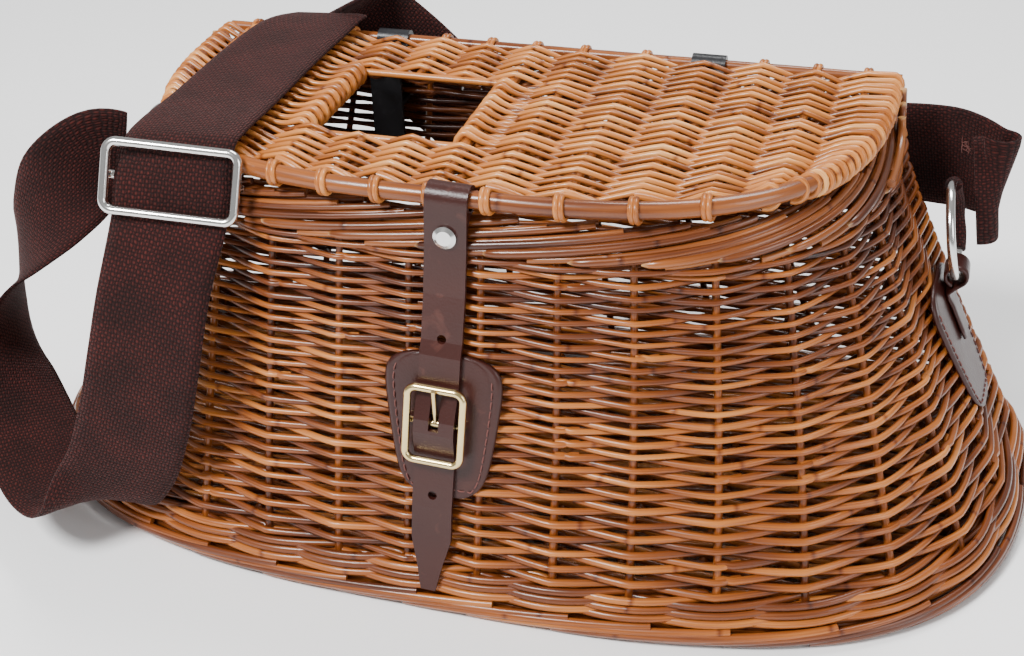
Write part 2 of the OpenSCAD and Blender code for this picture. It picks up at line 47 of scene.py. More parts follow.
# ---------------------------------------------------------------- camera
# Three-quarter view from the front right and above, as a person looking down at the basket.
camera_data = bpy.data.cameras.new("camera")
camera = bpy.data.objects.new("camera", camera_data)
bpy.context.scene.collection.objects.link(camera)
azimuth, elevation, roll = math.radians(17.59), math.radians(31.59), math.radians(-1.98)
back = Vector((math.sin(azimuth) * math.cos(elevation),
               -math.cos(azimuth) * math.cos(elevation), math.sin(elevation)))
right = Vector((math.cos(azimuth), math.sin(azimuth), 0))
up = back.cross(right)
right, up = right * math.cos(roll) + up * math.sin(roll), up * math.cos(roll) - right * math.sin(roll)
camera.matrix_world = Matrix((
    (right.x, up.x, back.x, 0.1931), (right.y, up.y, back.y, -0.6006),
    (right.z, up.z, back.z, 0.4695), (0, 0, 0, 1)))
camera_data.lens = 54.3
camera_data.sensor_width = 36
camera_data.clip_start = 0.01
bpy.context.scene.camera = camera

# ---------------------------------------------------------------- floor and light
# A plain pale floor, a soft key from the upper left front, a fill from the right and a light from
# above and behind.
def plane(name, size, place, turn=(0, 0, 0)):
    mesh = bpy.data.meshes.new(name)
    h = size / 2
    mesh.from_pydata([(-h, -h, 0), (h, -h, 0), (h, h, 0), (-h, h, 0)], [], [(0, 1, 2, 3)])
    obj = bpy.data.objects.new(name, mesh)
    obj.location, obj.rotation_euler = place, turn
    bpy.context.scene.collection.objects.link(obj)
    return obj


def node_material(name):
    mat = bpy.data.materials.new(name)
    mat.use_nodes = True
    tree = mat.node_tree
    return mat, tree, tree.nodes["Principled BSDF"]


floor = plane("floor", 8, (0, 0, 0))
floor_mat, tree, bsdf = node_material("floor")
bsdf.inputs["Base Color"].default_value = (0.97, 0.97, 0.97, 1)
bsdf.inputs["Roughness"].default_value = 0.9
floor.data.materials.append(floor_mat)


def area_light(name, place, target, size, power, colour=(1, 1, 1)):
    data = bpy.data.lights.new(name, "AREA")
    data.shape, data.size, data.size_y = "RECTANGLE", size[0], size[1]
    data.energy, data.color = power, colour
    obj = bpy.data.objects.new(name, data)
    obj.location = place
    direction = Vector(target) - Vector(place)
    obj.rotation_euler = direction.to_track_quat("-Z", "Y").to_euler()
    bpy.context.scene.collection.objects.link(obj)
    return obj


area_light("key", (-0.55, -1.0, 1.45), (0, 0, 0.1), (0.45, 0.45), 52)
area_light("fill", (1.5, -0.7, 0.8), (0, 0, 0.1), (0.6, 0.9), 11)
area_light("top", (0.25, 0.75, 1.7), (0, 0, 0.1), (0.9, 0.5), 26)
world = bpy.data.worlds.new("studio")
bpy.context.scene.world = world
world.use_nodes = True
world.node_tree.nodes["Background"].inputs[0].default_value = (1, 1, 1, 1)
world.node_tree.nodes["Background"].inputs[1].default_value = 0.44

# ---------------------------------------------------------------- materials
# Varnished willow: colour varies from rod to rod and along each rod, with knots and fine streaks.
def link(tree, a, b):
    tree.links.new(a, b)


def add(tree, kind, **values):
    node = tree.nodes.new(kind)
    for key, value in values.items():
        setattr(node, key, value)
    return node


def set_inputs(node, values):
    for key, value in values.items():
        node.inputs[key].default_value = value


def math_node(tree, op, a, b=None, clamp=False):
    node = add(tree, "ShaderNodeMath", operation=op, use_clamp=clamp)
    for i, v in enumerate((a, b)):
        if v is None:
            continue
        if isinstance(v, (int, float)):
            node.inputs[i].default_value = v
        else:
            link(tree, v, node.inputs[i])
    return node.outputs[0]


def mix_colour(tree, fac, a, b, mode="MIX"):
    node = add(tree, "ShaderNodeMix", data_type="RGBA", blend_type=mode)
    for socket, v in ((node.inputs["Factor"], fac), (node.inputs["A"], a), (node.inputs["B"], b)):
        if isinstance(v, (int, float, tuple)):
            socket.default_value = v
        else:
            link(tree, v, socket)
    return node.outputs["Result"]


def ramp(tree, fac, stops):
    node = add(tree, "ShaderNodeValToRGB")
    elements = node.color_ramp.elements
    while len(elements) > 1:
        elements.remove(elements[-1])
    elements[0].position, elements[0].color = stops[0]
    for pos, colour in stops[1:]:
        element = elements.new(pos)
        element.color = colour
    link(tree, fac, node.inputs[0])
    return node.outputs["Color"]


def noise_at(tree, where, scale, detail=2, distortion=0):
    node = add(tree, "ShaderNodeTexNoise")
    set_inputs(node, {"Scale": scale, "Detail": detail, "Distortion": distortion})
    link(tree, where, node.inputs["Vector"])
    return node.outputs["Fac"]


def add_bump(tree, bsdf, height, strength, distance):
    bump = add(tree, "ShaderNodeBump")
    set_inputs(bump, {"Strength": strength, "Distance": distance})
    link(tree, height, bump.inputs["Height"])
    link(tree, bump.outputs[0], bsdf.inputs["Normal"])


def willow_pattern():
    """Shared tone, knots, cut ends and height of a rod, from how far along and around it a point is."""
    group = bpy.data.node_groups.new("willow_pattern", "ShaderNodeTree")
    for name in ("Tone", "Knot", "Cut", "Height"):
        group.interface.new_socket(name, in_out="OUTPUT", socket_type="NodeSocketFloat")
    out = group.nodes.new("NodeGroupOutput")
    along, tint, cut, seed = [
        add(group, "ShaderNodeAttribute", attribute_name=name).outputs["Fac"]
        for name in ("along", "tint", "cut", "seed")]
    section = add(group, "ShaderNodeAttribute", attribute_name="section").outputs["Vector"]
    part = add(group, "ShaderNodeSeparateXYZ")
    link(group, section, part.inputs[0])
    ring = add(group, "ShaderNodeCombineXYZ")
    for i in range(2):
        link(group, math_node(group, "MULTIPLY", part.outputs[i], 1.6), ring.inputs[i])
    link(group, math_node(group, "ADD", math_node(group, "MULTIPLY", along, 14.0), seed), ring.inputs[2])
    streak = noise_at(group, ring.outputs[0], 1.7, 3)
    run = math_node(group, "ADD", math_node(group, "MULTIPLY", along, 9.0), seed)
    blotch = add(group, "ShaderNodeTexNoise", noise_dimensions="1D")
    knots = add(group, "ShaderNodeTexVoronoi", voronoi_dimensions="1D")
    for pattern in (blotch, knots):
        pattern.inputs["Scale"].default_value = 1.0
        link(group, run, pattern.inputs["W"])
    nearness = math_node(group, "MULTIPLY", knots.outputs["Distance"], 60.0)
    knot = math_node(group, "SUBTRACT", 1.0, nearness, clamp=True)
    fine = math_node(group, "SUBTRACT", streak, 0.5)
    broad = math_node(group, "SUBTRACT", blotch.outputs["Fac"], 0.5)
    broad = math_node(group, "ADD", math_node(group, "MULTIPLY", broad, 0.5), tint)
    tone = math_node(group, "ADD", math_node(group, "MULTIPLY", fine, 0.6), broad)
    grain, bump = math_node(group, "MULTIPLY", streak, 0.6), math_node(group, "MULTIPLY", knot, 0.8)
    height = math_node(group, "ADD", grain, bump)
    for name, value in (("Tone", tone), ("Knot", knot), ("Cut", cut), ("Height", height)):
        link(group, value, out.inputs[name])
    return group


willow_group = willow_pattern()


def willow(name, stops, rough=0.34, coat=0.2):
    mat, tree, bsdf = node_material(name)
    g = add(tree, "ShaderNodeGroup", node_tree=willow_group)
    colour = ramp(tree, g.outputs["Tone"], stops)
    dark = mix_colour(tree, g.outputs["Knot"], (1, 1, 1, 1), (0.42, 0.30, 0.24, 1))
    colour = mix_colour(tree, 1.0, colour, dark, "MULTIPLY")
    colour = mix_colour(tree, g.outputs["Cut"], colour, (0.46, 0.24, 0.09, 1))
    link(tree, colour, bsdf.inputs["Base Color"])
    set_inputs(bsdf, {"Roughness": rough, "Specular IOR Level": 0.32,
                      "Coat Weight": coat, "Coat Roughness": 0.12})
    add_bump(tree, bsdf, g.outputs["Height"], 0.35, 0.0004)
    return mat


body_willow = willow("body_willow", [
    (0.0, (0.032, 0.006, 0.002, 1)), (0.28, (0.125, 0.030, 0.006, 1)), (0.52, (0.275, 0.076, 0.013, 1)),
    (0.78, (0.45, 0.155, 0.031, 1)), (1.0, (0.60, 0.255, 0.070, 1))])
lid_willow = willow("lid_willow", [
    (0.0, (0.035, 0.008, 0.003, 1)), (0.28, (0.15, 0.041, 0.010, 1)), (0.52, (0.36, 0.112, 0.021, 1)),
    (0.78, (0.55, 0.205, 0.048, 1)), (1.0, (0.70, 0.34, 0.11, 1))])
rod_willow = willow("rod_willow", [
    (0.0, (0.030, 0.006, 0.002, 1)), (0.28, (0.115, 0.029, 0.007, 1)), (0.52, (0.25, 0.074, 0.016, 1)),
    (0.78, (0.37, 0.128, 0.032, 1)), (1.0, (0.50, 0.205, 0.062, 1))], rough=0.3, coat=0.28)


def leather(name, base, light, wear, rough):
    """Smooth finished leather: fine pebble, long soft creases and worn lighter patches."""
    mat, tree, bsdf = node_material(name)
    where = add(tree, "ShaderNodeTexCoord").outputs["Object"]
    pores = add(tree, "ShaderNodeTexVoronoi", feature="F1")
    pores.inputs["Scale"].default_value = 900
    link(tree, where, pores.inputs["Vector"])
    crease = noise_at(tree, where, 70, 6, 1.2)
    cloud = noise_at(tree, where, 28)
    colour = mix_colour(tree, cloud, base, light)
    worn = ramp(tree, crease, [(0.62, (0, 0, 0, 1)), (0.72, (1, 1, 1, 1))])
    colour = mix_colour(tree, math_node(tree, "MULTIPLY", worn, 0.25), colour, wear)
    link(tree, colour, bsdf.inputs["Base Color"])
    shine = math_node(tree, "ADD", math_node(tree, "MULTIPLY", cloud, 0.2), rough)
    link(tree, shine, bsdf.inputs["Roughness"])
    set_inputs(bsdf, {"Specular IOR Level": 0.3, "Coat Weight": 0.1, "Coat Roughness": 0.25})
    pebble = math_node(tree, "MULTIPLY", pores.outputs["Distance"], 0.5)
    add_bump(tree, bsdf, math_node(tree, "ADD", pebble, crease), 0.4, 0.0003)
    return mat


brown_leather = leather(
    "brown_leather", (0.021, 0.0046, 0.0034, 1), (0.044, 0.0104, 0.0072, 1), (0.13, 0.043, 0.030, 1), 0.26)
black_leather = leather(
    "black_leather", (0.006, 0.006, 0.007, 1), (0.018, 0.018, 0.021, 1), (0.07, 0.07, 0.08, 1), 0.28)


def webbing_material():
    """Coarse plain weave in two close browns; the uv runs in metres across and along the band."""
    mat, tree, bsdf = node_material("webbing")
    uv = add(tree, "ShaderNodeUVMap", uv_map="weave").outputs[0]
    split = add(tree, "ShaderNodeSeparateXYZ")
    link(tree, uv, split.inputs[0])
    pitch = 0.0014
    across = math_node(tree, "MULTIPLY", split.outputs[0], math.pi / pitch)
    along = math_node(tree, "MULTIPLY", split.outputs[1], math.pi / (pitch * 1.25))
    wander = noise_at(tree, uv, 240, 3)
    stray = math_node(tree, "MULTIPLY", math_node(tree, "SUBTRACT", wander, 0.5), 4.5)
    across = math_node(tree, "ADD", across, stray)
    along = math_node(tree, "SUBTRACT", along, stray)
    weft, warp = math_node(tree, "SINE", across), math_node(tree, "SINE", along)
    over = math_node(tree, "GREATER_THAN", math_node(tree, "MULTIPLY", weft, warp), 0.0)
    bead = math_node(tree, "MULTIPLY", math_node(tree, "ABSOLUTE", weft), math_node(tree, "ABSOLUTE", warp))
    fading = noise_at(tree, uv, 55, 5)
    fuzz = noise_at(tree, uv, 2200)
    colour = mix_colour(tree, over, (0.026, 0.0050, 0.0042, 1), (0.056, 0.0108, 0.0084, 1))
    # Painted shade: the colour goes near black between the yarns, where bead is low.
    colour = mix_colour(tree, bead, (0.006, 0.0018, 0.0018, 1), colour)
    light = ramp(tree, fading, [(0.35, (0.75, 0.75, 0.75, 1)), (0.7, (1.4, 1.3, 1.3, 1))])
    colour = mix_colour(tree, 1.0, colour, light, "MULTIPLY")
    link(tree, colour, bsdf.inputs["Base Color"])
    set_inputs(bsdf, {"Roughness": 0.9, "Specular IOR Level": 0.2, "Sheen Weight": 0.12,
                      "Sheen Roughness": 0.4, "Sheen Tint": (0.7, 0.4, 0.38, 1)})
    height = math_node(tree, "ADD", bead, math_node(tree, "MULTIPLY", fuzz, 0.4))
    add_bump(tree, bsdf, height, 0.8, 0.0005)
    return mat


webbing = webbing_material()


def metal(name, base, rough, scratches):
    """Plated metal with faint smudges and hairline scratches."""
    mat, tree, bsdf = node_material(name)
    where = add(tree, "ShaderNodeTexCoord").outputs["Object"]
    smudge = noise_at(tree, where, 120, 6)
    stretch = add(tree, "ShaderNodeMapping")
    stretch.inputs["Scale"].default_value = (60, 900, 900)
    link(tree, where, stretch.inputs["Vector"])
    hair = noise_at(tree, stretch.outputs[0], 3)
    tone = mix_colour(tree, smudge, base, tuple(c * 0.8 for c in base[:3]) + (1,))
    link(tree, tone, bsdf.inputs["Base Color"])
    bsdf.inputs["Metallic"].default_value = 1
    shine = math_node(tree, "ADD", math_node(tree, "MULTIPLY", smudge, 0.16), rough)
    shine = math_node(tree, "ADD", shine, math_node(tree, "MULTIPLY", hair, scratches))
    link(tree, shine, bsdf.inputs["Roughness"])
    return mat


nickel = metal("nickel", (0.78, 0.77, 0.75, 1), 0.06, 0.08)
brass = metal("brass", (0.80, 0.62, 0.30, 1), 0.08, 0.1)

thread_mat, tree, bsdf = node_material("thread")
where = add(tree, "ShaderNodeTexCoord").outputs["Object"]
twist = add(tree, "ShaderNodeTexWave", wave_type="BANDS")
twist.inputs["Scale"].default_value = 1400
link(tree, where, twist.inputs["Vector"])
thread_colour = mix_colour(tree, twist.outputs["Fac"], (0.07, 0.019, 0.015, 1), (0.16, 0.05, 0.04, 1))
link(tree, thread_colour, bsdf.inputs["Base Color"])
bsdf.inputs["Roughness"].default_value = 0.7


# ---------------------------------------------------------------- rods by geometry nodes
# A set of rods is a mesh of edges. Each point carries the rod's radius, its distance along the
# rod, a tint (its tone, with painted shade added on some rods), whether it is a pale cut end, and
# the rod's seed, which shifts its pattern. The nodes give it a round, slightly uneven body.
def rod_nodes():
    group = bpy.data.node_groups.new("rods_from_lines", "GeometryNodeTree")
    face = group.interface
    face.new_socket("Geometry", in_out="INPUT", socket_type="NodeSocketGeometry")
    face.new_socket("Sides", in_out="INPUT", socket_type="NodeSocketInt").default_value = 8
    face.new_socket("Unevenness", in_out="INPUT", socket_type="NodeSocketFloat").default_value = 0.0002
    face.new_socket("Seed", in_out="INPUT", socket_type="NodeSocketFloat").default_value = 3
    face.new_socket("Material", in_out="INPUT", socket_type="NodeSocketMaterial")
    face.new_socket("Geometry", in_out="OUTPUT", socket_type="NodeSocketGeometry")
    nodes = group.nodes
    start, end = nodes.new("NodeGroupInput"), nodes.new("NodeGroupOutput")
    curve = nodes.new("GeometryNodeMeshToCurve")
    link(group, start.outputs["Geometry"], curve.inputs[0])
    radius_in = add(group, "GeometryNodeInputNamedAttribute", data_type="FLOAT")
    radius_in.inputs["Name"].default_value = "rod_radius"
    circle = nodes.new("GeometryNodeCurvePrimitiveCircle")
    circle.inputs["Radius"].default_value = 1
    link(group, start.outputs["Sides"], circle.inputs["Resolution"])
    where = nodes.new("GeometryNodeInputPosition")
    section = add(group, "GeometryNodeStoreNamedAttribute", data_type="FLOAT_VECTOR", domain="POINT")
    section.inputs["Name"].default_value = "section"
    link(group, circle.outputs[0], section.inputs["Geometry"])
    link(group, where.outputs[0], section.inputs["Value"])
    tube = nodes.new("GeometryNodeCurveToMesh")
    tube.inputs["Fill Caps"].default_value = True
    link(group, curve.outputs[0], tube.inputs["Curve"])
    link(group, radius_in.outputs[0], tube.inputs["Scale"])
    link(group, section.outputs[0], tube.inputs["Profile Curve"])
    noise = add(group, "ShaderNodeTexNoise", noise_dimensions="4D")
    noise.inputs["Scale"].default_value = 160
    link(group, start.outputs["Seed"], noise.inputs["W"])
    centre = add(group, "ShaderNodeVectorMath", operation="SUBTRACT")
    centre.inputs[1].default_value = (0.5, 0.5, 0.5)
    link(group, noise.outputs["Color"], centre.inputs[0])
    amount = add(group, "ShaderNodeVectorMath", operation="SCALE")
    link(group, centre.outputs[0], amount.inputs[0])
    link(group, start.outputs["Unevenness"], amount.inputs["Scale"])
    move = nodes.new("GeometryNodeSetPosition")
    link(group, tube.outputs[0], move.inputs["Geometry"])
    link(group, amount.outputs[0], move.inputs["Offset"])
    smooth = nodes.new("GeometryNodeSetShadeSmooth")
    link(group, move.outputs[0], smooth.inputs["Geometry"])
    real = nodes.new("GeometryNodeRealizeInstances")
    link(group, smooth.outputs[0], real.inputs[0])
    paint = nodes.new("GeometryNodeSetMaterial")
    link(group, real.outputs[0], paint.inputs["Geometry"])
    link(group, start.outputs["Material"], paint.inputs["Material"])
    link(group, paint.outputs[0], end.inputs[0])
    return group


rods_from_lines = rod_nodes()


def socket_of(group, name):
    for item in group.interface.items_tree:
        if item.name == name and item.in_out == "INPUT":
            return item.identifier


def rods(name, lines, material, sides=8, uneven=0.35, seed=1.0):
    """lines is a list of (points in mm, radii in mm, tint, cut) for one piece of rods."""
    verts, edges, radii, alongs, tints, cuts, seeds = [], [], [], [], [], [], []
    for index, (points, radius, tint, cut) in enumerate(lines):
        p = np.asarray(points, float)
        first = len(verts)
        n = len(p)
        step = np.linalg.norm(np.diff(p, axis=0), axis=1)
        along = np.concatenate([[0], np.cumsum(step)]) * MM
        r = np.full(n, radius, float) if np.isscalar(radius) else np.asarray(radius, float)
        verts += [tuple(q) for q in p * MM]
        edges += [(first + i, first + i + 1) for i in range(n - 1)]
        radii += list(r * MM)
        alongs += list(along)
        tints += list(np.broadcast_to(tint, n))
        cuts += list(cut if cut is not None else [0.0] * n)
        seeds += [(seed * 7.3 + index * 3.77) % 50] * n
    mesh = bpy.data.meshes.new(name + "_lines")
    mesh.from_pydata(verts, edges, [])
    for label, values in (("rod_radius", radii), ("along", alongs), ("tint", tints), ("cut", cuts),
                          ("seed", seeds)):
        attribute = mesh.attributes.new(label, "FLOAT", "POINT")
        attribute.data.foreach_set("value", np.asarray(values, np.float32))
    holder = bpy.data.objects.new(name + "_lines", mesh)
    bpy.context.scene.collection.objects.link(holder)
    modifier = holder.modifiers.new("rods", "NODES")
    modifier.node_group = rods_from_lines
    modifier[socket_of(rods_from_lines, "Sides")] = sides
    modifier[socket_of(rods_from_lines, "Unevenness")] = uneven * MM
    modifier[socket_of(rods_from_lines, "Seed")] = float(seed)
    modifier[socket_of(rods_from_lines, "Material")] = material
    bpy.context.view_layer.update()
    plain = bpy.data.meshes.new_from_object(holder.evaluated_get(bpy.context.evaluated_depsgraph_get()))
    bpy.data.objects.remove(holder)
    obj = bpy.data.objects.new(name, plain)
    plain.name = name
    bpy.context.scene.collection.objects.link(obj)
    return obj


def place(obj, body, slot, *nodes):
    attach(obj, body)
    if nodes:
        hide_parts(*nodes)
    return obj


# ---------------------------------------------------------------- shape of the body
# A D-shaped outline that flares from rim to foot. Around it run an even number of stake
# spaces, and every row of weaving is laid on this surface.
def flare(z):
    return np.maximum(0, (178 - np.asarray(z, float)) / 172) ** 1.15


def outline(z):
    f = float(flare(z))
    return 169 + 78 * f, 80 + 28.5 * f, -81 - 31.5 * f, 12 + 28 * f


FRONT_SPACES, BACK_SPACES = 17, 9
SPACES = FRONT_SPACES + BACK_SPACES
FINE = 10


def even_points(path, marks):
    step = np.linalg.norm(np.diff(path, axis=0), axis=1)
    s = np.concatenate([[0], np.cumsum(step)])
    marks = np.asarray(marks) * s[-1]
    return np.column_stack([np.interp(marks, s, path[:, i]) for i in (0, 1)])


def ring_points(z):
    a, rear, front, corner = outline(z)
    yc = rear - corner
    t = np.linspace(math.pi, 2 * math.pi, 400)
    c, s = np.cos(t), np.sin(t)
    fr = np.column_stack([a * np.sign(c) * np.abs(c) ** (2 / 3), yc - (yc - front) * np.abs(s) ** (2 / 3)])
    q = np.linspace(0, math.pi / 2, 16)
    bk = np.vstack([
        np.column_stack([a - corner + corner * np.cos(q), yc + corner * np.sin(q)]),
        np.column_stack([-(a - corner) - corner * np.sin(q), yc + corner * np.cos(q)])])
    u = np.linspace(-1, 1, FRONT_SPACES * FINE + 1)[:-1]
    near = 0.22 * float(flare(z))
    v = (1 - near) * u + near * u * np.abs(u) ** 2
    return np.vstack([
        even_points(fr, (v + 1) / 2),
        even_points(bk, np.linspace(0, 1, BACK_SPACES * FINE + 1)[:-1])])


LEVELS = np.linspace(0, 190, 39)
TABLE = np.array([ring_points(z) for z in LEVELS])
NEXT = np.roll(TABLE, -1, axis=1) - np.roll(TABLE, 1, axis=1)
NORMAL = np.dstack([NEXT[:, :, 1], -NEXT[:, :, 0]])
NORMAL /= np.linalg.norm(NORMAL, axis=2, keepdims=True)


def on_wall(m, z, off):
    """Points at m (in fine steps round the body), height z, off outward from the surface, in mm."""
    m = np.asarray(m, float) % (SPACES * FINE)
    m, z, off = np.broadcast_arrays(m, np.asarray(z, float), np.asarray(off, float))
    lv = np.clip(z / LEVELS[1], 0, len(LEVELS) - 1.001)
    l0 = lv.astype(int)
    fl = (lv - l0)[:, None]
    m0 = np.floor(m).astype(int) % (SPACES * FINE)
    m1 = (m0 + 1) % (SPACES * FINE)
    fm = (m - np.floor(m))[:, None]
    def pick(table):
        low = table[l0, m0] * (1 - fm) + table[l0, m1] * fm
        high = table[l0 + 1, m0] * (1 - fm) + table[l0 + 1, m1] * fm
        return low * (1 - fl) + high * fl
    p, n = pick(TABLE), pick(NORMAL)
    return np.column_stack([p + n * off[:, None], z])


rng = np.random.default_rng(7)


def wave(m, phase):
    """+1 outside one stake, -1 inside the next, nearly straight between."""
    t = np.asarray(m, float) / FINE * math.pi + phase
    tri = np.arcsin(np.sin(t + math.pi / 2) * 0.999) * 2 / math.pi
    return 0.86 * tri + 0.14 * np.cos(t)


# ---------------------------------------------------------------- wall weave
# Plain randing: each row passes outside one stake and inside the next. Rods are thick at the
# foot and thin at the rim; each row is made of several tapering rods whose ends hide inside.
MID = 3.4
THINNING = 95
low_z, high_z = 24.0, 163.0
row_heights, z = [], low_z
while z < high_z:
    row_heights.append(z)
    z += 3.55 - 1.0 * min(1, (z - low_z) / THINNING)


def weave_rows(heights, first_row):
    lines = []
    for i, z0 in enumerate(heights):
        row = first_row + i
        height = min(1, (z0 - low_z) / THINNING)
        base_r = 1.76 - 0.50 * height
        phase = math.pi * (row % 2)
        m = int(rng.integers(0, SPACES)) * FINE
        start, total = m, SPACES * FINE
        drift = rng.normal(0, 0.12, 8)
        while m < start + total:
            spaces = int(rng.integers(7, 13))
            stop = min(m + spaces * FINE, start + total)
            if start + total - stop < 3 * FINE:
                stop = start + total
            k = np.arange(m, stop + 4)
            r0 = base_r * rng.uniform(0.94, 1.14)
            taper = np.linspace(1.06, 0.86, len(k))
            wob = sum(drift[j] * np.sin(k / (SPACES * FINE) * 2 * math.pi * (j + 1) + j) for j in range(8))
            jitter = rng.uniform(-0.22, 0.22)
            off = wave(k, phase) * (1.65 + r0) * 0.97 - MID
            off[:2] -= 1.5
            off[-2:] -= 1.8
            # Painted shade: darker where the rod goes inside a stake, and near the rim under the border. Also
            # darker near the foot.
            shade = rng.uniform(0.44, 0.84) - 0.36 * (1 - wave(k, phase)) / 2
            shade = shade - 0.2 * np.clip((z0 - 112) / 25, 0, 1) - 0.14 * np.clip((75 - z0) / 30, 0, 1)
            thick = 1 + 0.1 * np.clip((k % (SPACES * FINE) - FRONT_SPACES * FINE) / 4, 0, 1)
            lines.append((on_wall(k, z0 + wob + jitter, off), r0 * taper * thick, shade, None))
            m = stop
    return lines


row_count = len(row_heights)
splits = [0, row_count // 3, 2 * row_count // 3, row_count]
for name, a, b in zip(("wall_weave_low", "wall_weave_middle", "wall_weave_high"), splits, splits[1:]):
    weave = rods(name, weave_rows(row_heights[a:b], a), body_willow, sides=8, uneven=0.3, seed=a)
    place(weave, "basket", "willow_body", *(["wall_weave"] if a == 0 else []))

# ---------------------------------------------------------------- side stakes
# Upright rods that the wall is woven on, from the base to under the border.
stake_lines = []
for k in range(SPACES):
    zs = np.linspace(6, 172, 15)
    sway = rng.normal(0, 0.25)
    upright = on_wall(np.full(15, k * FINE) + sway, zs, np.full(15, -MID))
    stake_lines.append((upright, np.linspace(1.95, 1.6, 15), float(rng.uniform(0.1, 0.5)), None))
stakes = rods("side_stakes", stake_lines, body_willow, sides=8, uneven=0.2, seed=5)
place(stakes, "basket", "willow_rods", "side_stakes")


# ---------------------------------------------------------------- wales
# Bands of three rods worked together: each passes in front of two stakes and behind one.
def wale_lines(z0, rounds, radius, rise):
    lines = []
    for j in range(rounds):
        for p in range(3):
            k = np.arange(0, SPACES * FINE + 2)
            t = (k / FINE + p + j) % 3
            s = np.cos((t - 1.0) / 3 * 2 * math.pi)
            off = s * (1.8 + radius) * 1.02 - MID + 0.7
            z = z0 + j * rise + (t - 1.5) * radius * 0.62
            # Painted shade: the rim wale's rods are darker, as under the overhanging border.
            tint = float(rng.uniform(0.25, 0.6)) - (0.12 if z0 > 100 else 0)
            lines.append((on_wall(k, z, off), radius * rng.uniform(0.93, 1.07), tint, None))
    return lines


lower = rods("lower_wale", wale_lines(13.5, 3, 1.9, 3.9), body_willow, uneven=0.3, seed=11)
place(lower, "basket", "willow_rods", "lower_wale")
upper = rods("rim_wale", wale_lines(165.6, 1, 1.35, 3.0), body_willow, uneven=0.25, seed=12)
place(upper, "basket", "willow_body", "rim_wale")


# ---------------------------------------------------------------- borders
# Each stake's end turns to the right, runs along the edge over its neighbours and rises, so the
# edge looks like a loose rope. Cut butts show as pale ovals on the outside.
def rope_lines(z_low, z_high, out_low, out_high, reach, radius, show_cut, wobble=0.3, shift=0.0):
    lines = []
    for k0 in range(SPACES):
        n = int(reach * FINE) + 1
        m = (k0 + shift) * FINE + rng.uniform(-1.5, 1.5) + np.arange(n)
        u = np.linspace(0, 1, n)
        z = z_low + (z_high - z_low) * (u ** 1.1) + rng.normal(0, wobble)
        bulge = np.sin(u * math.pi) ** 0.6
        off = out_low + (out_high - out_low) * u + 1.4 * bulge
        r = radius * rng.uniform(0.85, 1.12) * (1.08 - 0.3 * u)
        cut = np.zeros(n)
        if show_cut:
            cut[0] = 1
            r[:3] *= (0.35, 0.8, 0.95)
            off[:2] -= (0.9, 0.3)
        lines.append((on_wall(m, z, off), r, float(rng.uniform(0.12, 0.56)), cut))
    return lines


border = rope_lines(169.2, 182.4, 0.9, -5.6, 3.6, 1.9, True)
border += rope_lines(167.6, 180.8, -0.6, -4.4, 3.4, 1.7, False, shift=0.5)
border += rope_lines(172.0, 181.6, -5.0, -8.6, 3.2, 1.9, False, shift=0.25)
top_border = rods("top_border", border, rod_willow, uneven=0.25, seed=21)
place(top_border, "basket", "willow_rods", "top_border")

foot = rope_lines(3.1, 9.6, -1.6, 0.8, 3.3, 2.2, False, 0.15)
foot += rope_lines(9.0, 3.1, -4.8, -7.6, 3.3, 2.2, False, 0.15)
foot_border = rods("foot_border", foot, body_willow, uneven=0.2, seed=22)
place(foot_border, "basket", "willow_rods", "foot_border")

# ---------------------------------------------------------------- corner posts
# At each back corner the border's rods sweep up and end in short cut uprights beside the lid.
post_lines = []
for s in (-1, 1):
    for k in range(3):
        y0, y1 = 30 - 9 * k, 66 - 6.5 * k
        u = np.linspace(0, 1, 24)
        x = s * (169.5 + 0.6 * k + 1.2 * np.sin(u * math.pi))
        y = y0 + (y1 - y0) * np.sin(u * math.pi / 2)
        z = 172 + (21 - 4 * k) * u ** 2.2
        cut = np.zeros(24)
        cut[-1] = 1
        post_lines.append((np.column_stack([x, y, z]), np.linspace(2.1, 1.75, 24), 0.35 + 0.12 * k, cut))
posts = rods("corner_posts", post_lines, rod_willow, sides=10, uneven=0.2, seed=23)
place(posts, "basket", "willow_rods", "corner_posts")

# ---------------------------------------------------------------- base
# Flat panel of rods woven left to right over front-to-back sticks.
def half_length(y, inset):
    a, rear, front, corner = outline(6)
    a, rear, front = a - inset, rear - inset, front + inset
    corner = max(4, corner - inset)
    yc = rear - corner
    if y > rear or y < front:
        return 0
    if y > yc:
        return a - corner + math.sqrt(max(0, corner ** 2 - (y - yc) ** 2))
    return a * (1 - ((yc - y) / (yc - front)) ** 3) ** (1 / 3)


def panel_wave(x, spacing, phase):
    t = x / spacing * math.pi + phase
    tri = np.arcsin(np.sin(t + math.pi / 2) * 0.999) * 2 / math.pi
    return 0.7 * tri + 0.3 * np.cos(t)


base_lines = []
for i, y in enumerate(np.arange(-98, 97, 3.5)):
    half = half_length(y, 12)
    if half < 20:
        continue
    x = np.arange(-half, half, 3.6)
    zz = 4.6 + panel_wave(x, 36, math.pi * (i % 2)) * 2.3
    base_lines.append((np.column_stack([x, np.full(len(x), y), zz]), 1.7, float(rng.uniform(0.2, 0.8)), None))
base_weave = rods("base_panel", base_lines, body_willow, sides=7, uneven=0.3, seed=31)
place(base_weave, "basket", "willow_body", "base_panel")
base_stick_lines = []
for x in np.arange(-216, 217, 36):
    ys = np.linspace(-100, 98, 12)
    ys = [y for y in ys if half_length(y, 10) > abs(x)]
    if len(ys) > 2:
        along = np.array([(x, y, 4.6) for y in ys])
        base_stick_lines.append((along, 2.1, float(rng.uniform(0.2, 0.5)), None))
base_sticks = rods("base_sticks", base_stick_lines, body_willow, uneven=0.2, seed=32)
place(base_sticks, "basket", "willow_rods", "base_sticks")

